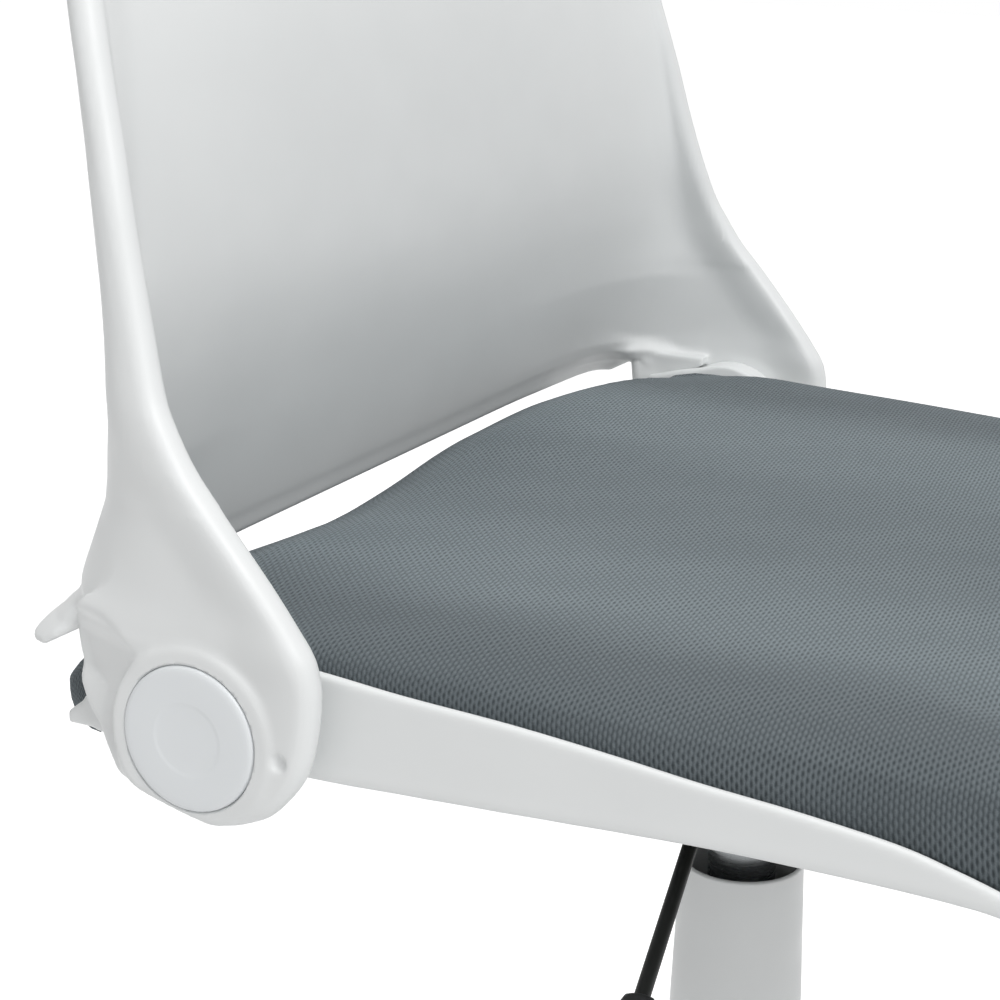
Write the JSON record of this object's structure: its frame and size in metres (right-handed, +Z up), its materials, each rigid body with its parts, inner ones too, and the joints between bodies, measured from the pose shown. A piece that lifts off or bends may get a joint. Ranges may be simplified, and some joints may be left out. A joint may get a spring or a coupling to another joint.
{
  "type": "task chair",
  "caption": "Task chair with a white shell back that folds forward over a grey upholstered seat, on a height-adjustable swivel column and a star base with casters.",
  "frame": {"origin": "on the floor, on the axis of the gas lift", "axes": "+Z up, the front of the seat faces -Y, +X is the sitter's left"},
  "size_m": [0.5939, 0.5901, 0.855],
  "materials": {
    "white": "satin moulded plastic, finely grained",
    "cap": "smooth semi-gloss moulded plastic",
    "black": "satin black plastic",
    "black_metal": "black powder coat",
    "steel": "plain drawn steel",
    "tube": "hard chromed ground steel",
    "brass": "turned brass",
    "board": "bare plywood",
    "fabric": "grey woven upholstery",
    "tread": "black soft tread"
  },
  "bodies": {
    "base": {"star_base": "white", "gas_cylinder": "black_metal", "guide_sleeve": "white", "lower_cover": "white", "caster_sockets": "steel"},
    "spindle": {"piston_rod": "steel", "thrust_bearing": "steel", "retaining_clip": "steel"},
    "cover": {"middle_cover": "white"},
    "seat": {"pressure_tube": "tube", "top_cover": "white", "seat_plate": "black_metal", "taper_socket": "steel", "lever_bracket": "steel", "lever_pin": "steel", "plate_bolts": "steel", "post_inserts": "brass", "seat_pan": "white", "seat_board": "board", "board_screws": "steel", "seat_cushion": "fabric", "left_hinge_bracket": "steel", "right_hinge_bracket": "steel", "bracket_bolts": "steel", "pivot_bolts": "steel", "pivot_nuts": "steel", "pivot_washers": "black"},
    "lever": {"lever_rod": "black_metal", "lever_handle": "black"},
    "valve": {"valve_button": "black"},
    "back": {"back_shell": "white", "pivot_bushes": "white", "left_hinge_cap": "cap", "right_hinge_cap": "cap"},
    "caster_1": {"caster_1_stem": "steel", "caster_1_housing": "black", "caster_1_axle": "steel"},
    "caster_1_left_wheel": {"caster_1_left_wheel": "tread"},
    "caster_1_right_wheel": {"caster_1_right_wheel": "tread"},
    "caster_2": {"caster_2_stem": "steel", "caster_2_housing": "black", "caster_2_axle": "steel"},
    "caster_2_left_wheel": {"caster_2_left_wheel": "tread"},
    "caster_2_right_wheel": {"caster_2_right_wheel": "tread"},
    "caster_3": {"caster_3_stem": "steel", "caster_3_housing": "black", "caster_3_axle": "steel"},
    "caster_3_left_wheel": {"caster_3_left_wheel": "tread"},
    "caster_3_right_wheel": {"caster_3_right_wheel": "tread"},
    "caster_4": {"caster_4_stem": "steel", "caster_4_housing": "black", "caster_4_axle": "steel"},
    "caster_4_left_wheel": {"caster_4_left_wheel": "tread"},
    "caster_4_right_wheel": {"caster_4_right_wheel": "tread"},
    "caster_5": {"caster_5_stem": "steel", "caster_5_housing": "black", "caster_5_axle": "steel"},
    "caster_5_left_wheel": {"caster_5_left_wheel": "tread"},
    "caster_5_right_wheel": {"caster_5_right_wheel": "tread"}
  },
  "joints": [
    {"name": "seat_swivel", "type": "hinge", "parent": "base", "child": "spindle", "pos_m": [0, 0, 0.15], "axis": [0, 0, 1], "continuous": true},
    {"name": "lift_slide", "type": "slide", "parent": "spindle", "child": "seat", "axis": [0, 0, 1], "range_m": [-0.05, 0.05]},
    {"name": "cover_slide", "type": "slide", "parent": "base", "child": "cover", "axis": [0, 0, 1], "range_m": [-0.025, 0.025]},
    {"name": "lever_pull", "type": "hinge", "parent": "seat", "child": "lever", "pos_m": [-0.03, 0.0011, 0.39], "axis": [0, 1, 0], "range_deg": [0, 5], "stiffness_Nm_per_rad": 0.6, "springref_deg": -5.73},
    {"name": "valve_press", "type": "slide", "parent": "seat", "child": "valve", "axis": [0, 0, -1], "range_m": [0, 0.0027]},
    {"name": "back_fold", "type": "hinge", "parent": "seat", "child": "back", "pos_m": [0, 0.104, 0.455], "axis": [1, 0, 0], "range_deg": [0, 90]},
    {"name": "caster_1_swivel", "type": "hinge", "parent": "base", "child": "caster_1", "pos_m": [-0.27105, 0.08807, 0.058], "axis": [0, 0, 1], "continuous": true},
    {"name": "caster_1_left_wheel_roll", "type": "hinge", "parent": "caster_1", "child": "caster_1_left_wheel", "pos_m": [-0.2626, 0.10396, 0.025], "axis": [0.8829, -0.4695, 0], "continuous": true},
    {"name": "caster_1_right_wheel_roll", "type": "hinge", "parent": "caster_1", "child": "caster_1_right_wheel", "pos_m": [-0.2626, 0.10396, 0.025], "axis": [0.8829, -0.4695, 0], "continuous": true},
    {"name": "caster_2_swivel", "type": "hinge", "parent": "base", "child": "caster_2", "pos_m": [-0.16752, -0.23057, 0.058], "axis": [0, 0, 1], "continuous": true},
    {"name": "caster_2_left_wheel_roll", "type": "hinge", "parent": "caster_2", "child": "caster_2_left_wheel", "pos_m": [-0.17625, -0.21483, 0.025], "axis": [0.8746, 0.4848, 0], "continuous": true},
    {"name": "caster_2_right_wheel_roll", "type": "hinge", "parent": "caster_2", "child": "caster_2_right_wheel", "pos_m": [-0.17625, -0.21483, 0.025], "axis": [0.8746, 0.4848, 0], "continuous": true},
    {"name": "caster_3_swivel", "type": "hinge", "parent": "base", "child": "caster_3", "pos_m": [0.16752, -0.23057, 0.058], "axis": [0, 0, 1], "continuous": true},
    {"name": "caster_3_left_wheel_roll", "type": "hinge", "parent": "caster_3", "child": "caster_3_left_wheel", "pos_m": [0.15393, -0.24238, 0.025], "axis": [-0.6561, 0.7547, 0], "continuous": true},
    {"name": "caster_3_right_wheel_roll", "type": "hinge", "parent": "caster_3", "child": "caster_3_right_wheel", "pos_m": [0.15393, -0.24238, 0.025], "axis": [-0.6561, 0.7547, 0], "continuous": true},
    {"name": "caster_4_swivel", "type": "hinge", "parent": "base", "child": "caster_4", "pos_m": [0.27105, 0.08807, 0.058], "axis": [0, 0, 1], "continuous": true},
    {"name": "caster_4_left_wheel_roll", "type": "hinge", "parent": "caster_4", "child": "caster_4_left_wheel", "pos_m": [0.27042, 0.07008, 0.025], "axis": [-0.9994, 0.0349, 0], "continuous": true},
    {"name": "caster_4_right_wheel_roll", "type": "hinge", "parent": "caster_4", "child": "caster_4_right_wheel", "pos_m": [0.27042, 0.07008, 0.025], "axis": [-0.9994, 0.0349, 0], "continuous": true},
    {"name": "caster_5_swivel", "type": "hinge", "parent": "base", "child": "caster_5", "pos_m": [0, 0.285, 0.058], "axis": [0, 0, 1], "continuous": true},
    {"name": "caster_5_left_wheel_roll", "type": "hinge", "parent": "caster_5", "child": "caster_5_left_wheel", "pos_m": [0.01799, 0.28437, 0.025], "axis": [-0.0349, -0.9994, 0], "continuous": true},
    {"name": "caster_5_right_wheel_roll", "type": "hinge", "parent": "caster_5", "child": "caster_5_right_wheel", "pos_m": [0.01799, 0.28437, 0.025], "axis": [-0.0349, -0.9994, 0], "continuous": true}
  ],
  "couplings": [
    {"joint": "cover_slide", "follows": "lift_slide", "ratio": 0.5},
    {"joint": "valve_press", "follows": "lever_pull", "m_per_rad": 0.03}
  ]
}
